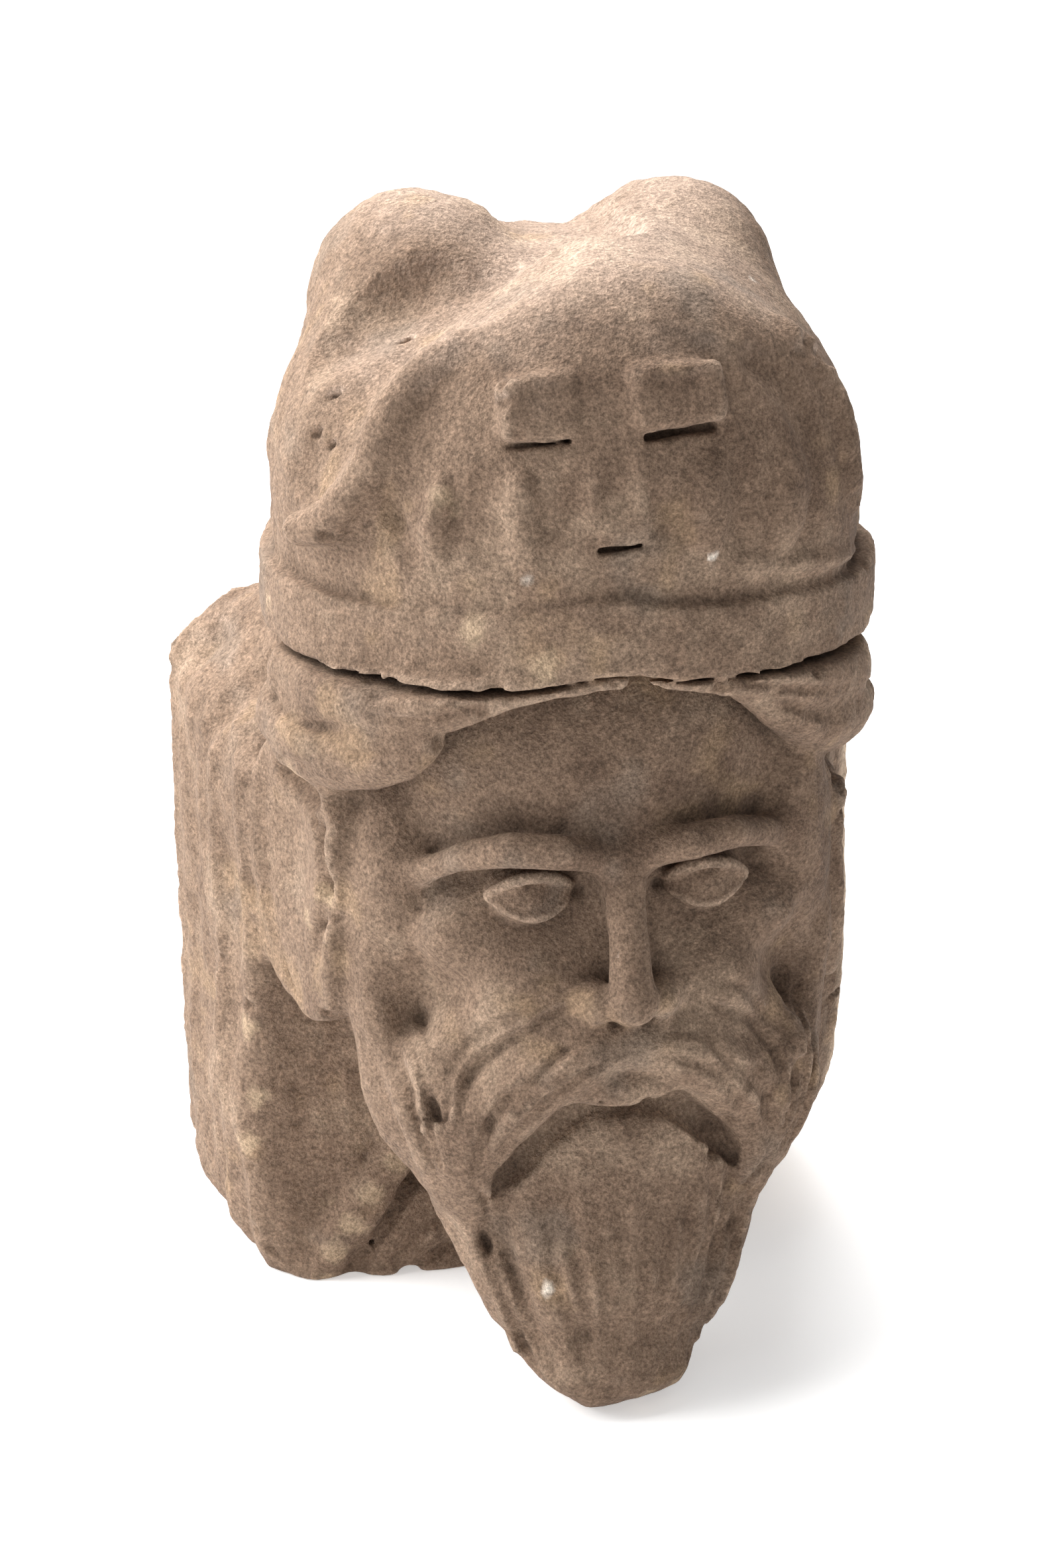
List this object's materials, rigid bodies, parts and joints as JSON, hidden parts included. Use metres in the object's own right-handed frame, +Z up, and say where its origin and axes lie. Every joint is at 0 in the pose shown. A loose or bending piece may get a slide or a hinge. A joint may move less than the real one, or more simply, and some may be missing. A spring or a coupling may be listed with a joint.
{
  "type": "stone corbel",
  "caption": "Carved sandstone corbel: a bearded head in a tall banded cap, cut in one with the rough tail block that is built into a wall.",
  "frame": {"origin": "middle of the flat wall face at the back of the tail block", "axes": "+Y out of the wall face into the wall, -Y the way the head looks, +X to the viewer's right, +Z up"},
  "size_m": [0.262, 0.2436, 0.4282],
  "materials": {
    "sandstone": "weathered fine-grained brown sandstone, matt, chipped, with dark grime in the hollows"
  },
  "bodies": {
    "root": {"corbel": "sandstone"}
  },
  "joints": []
}
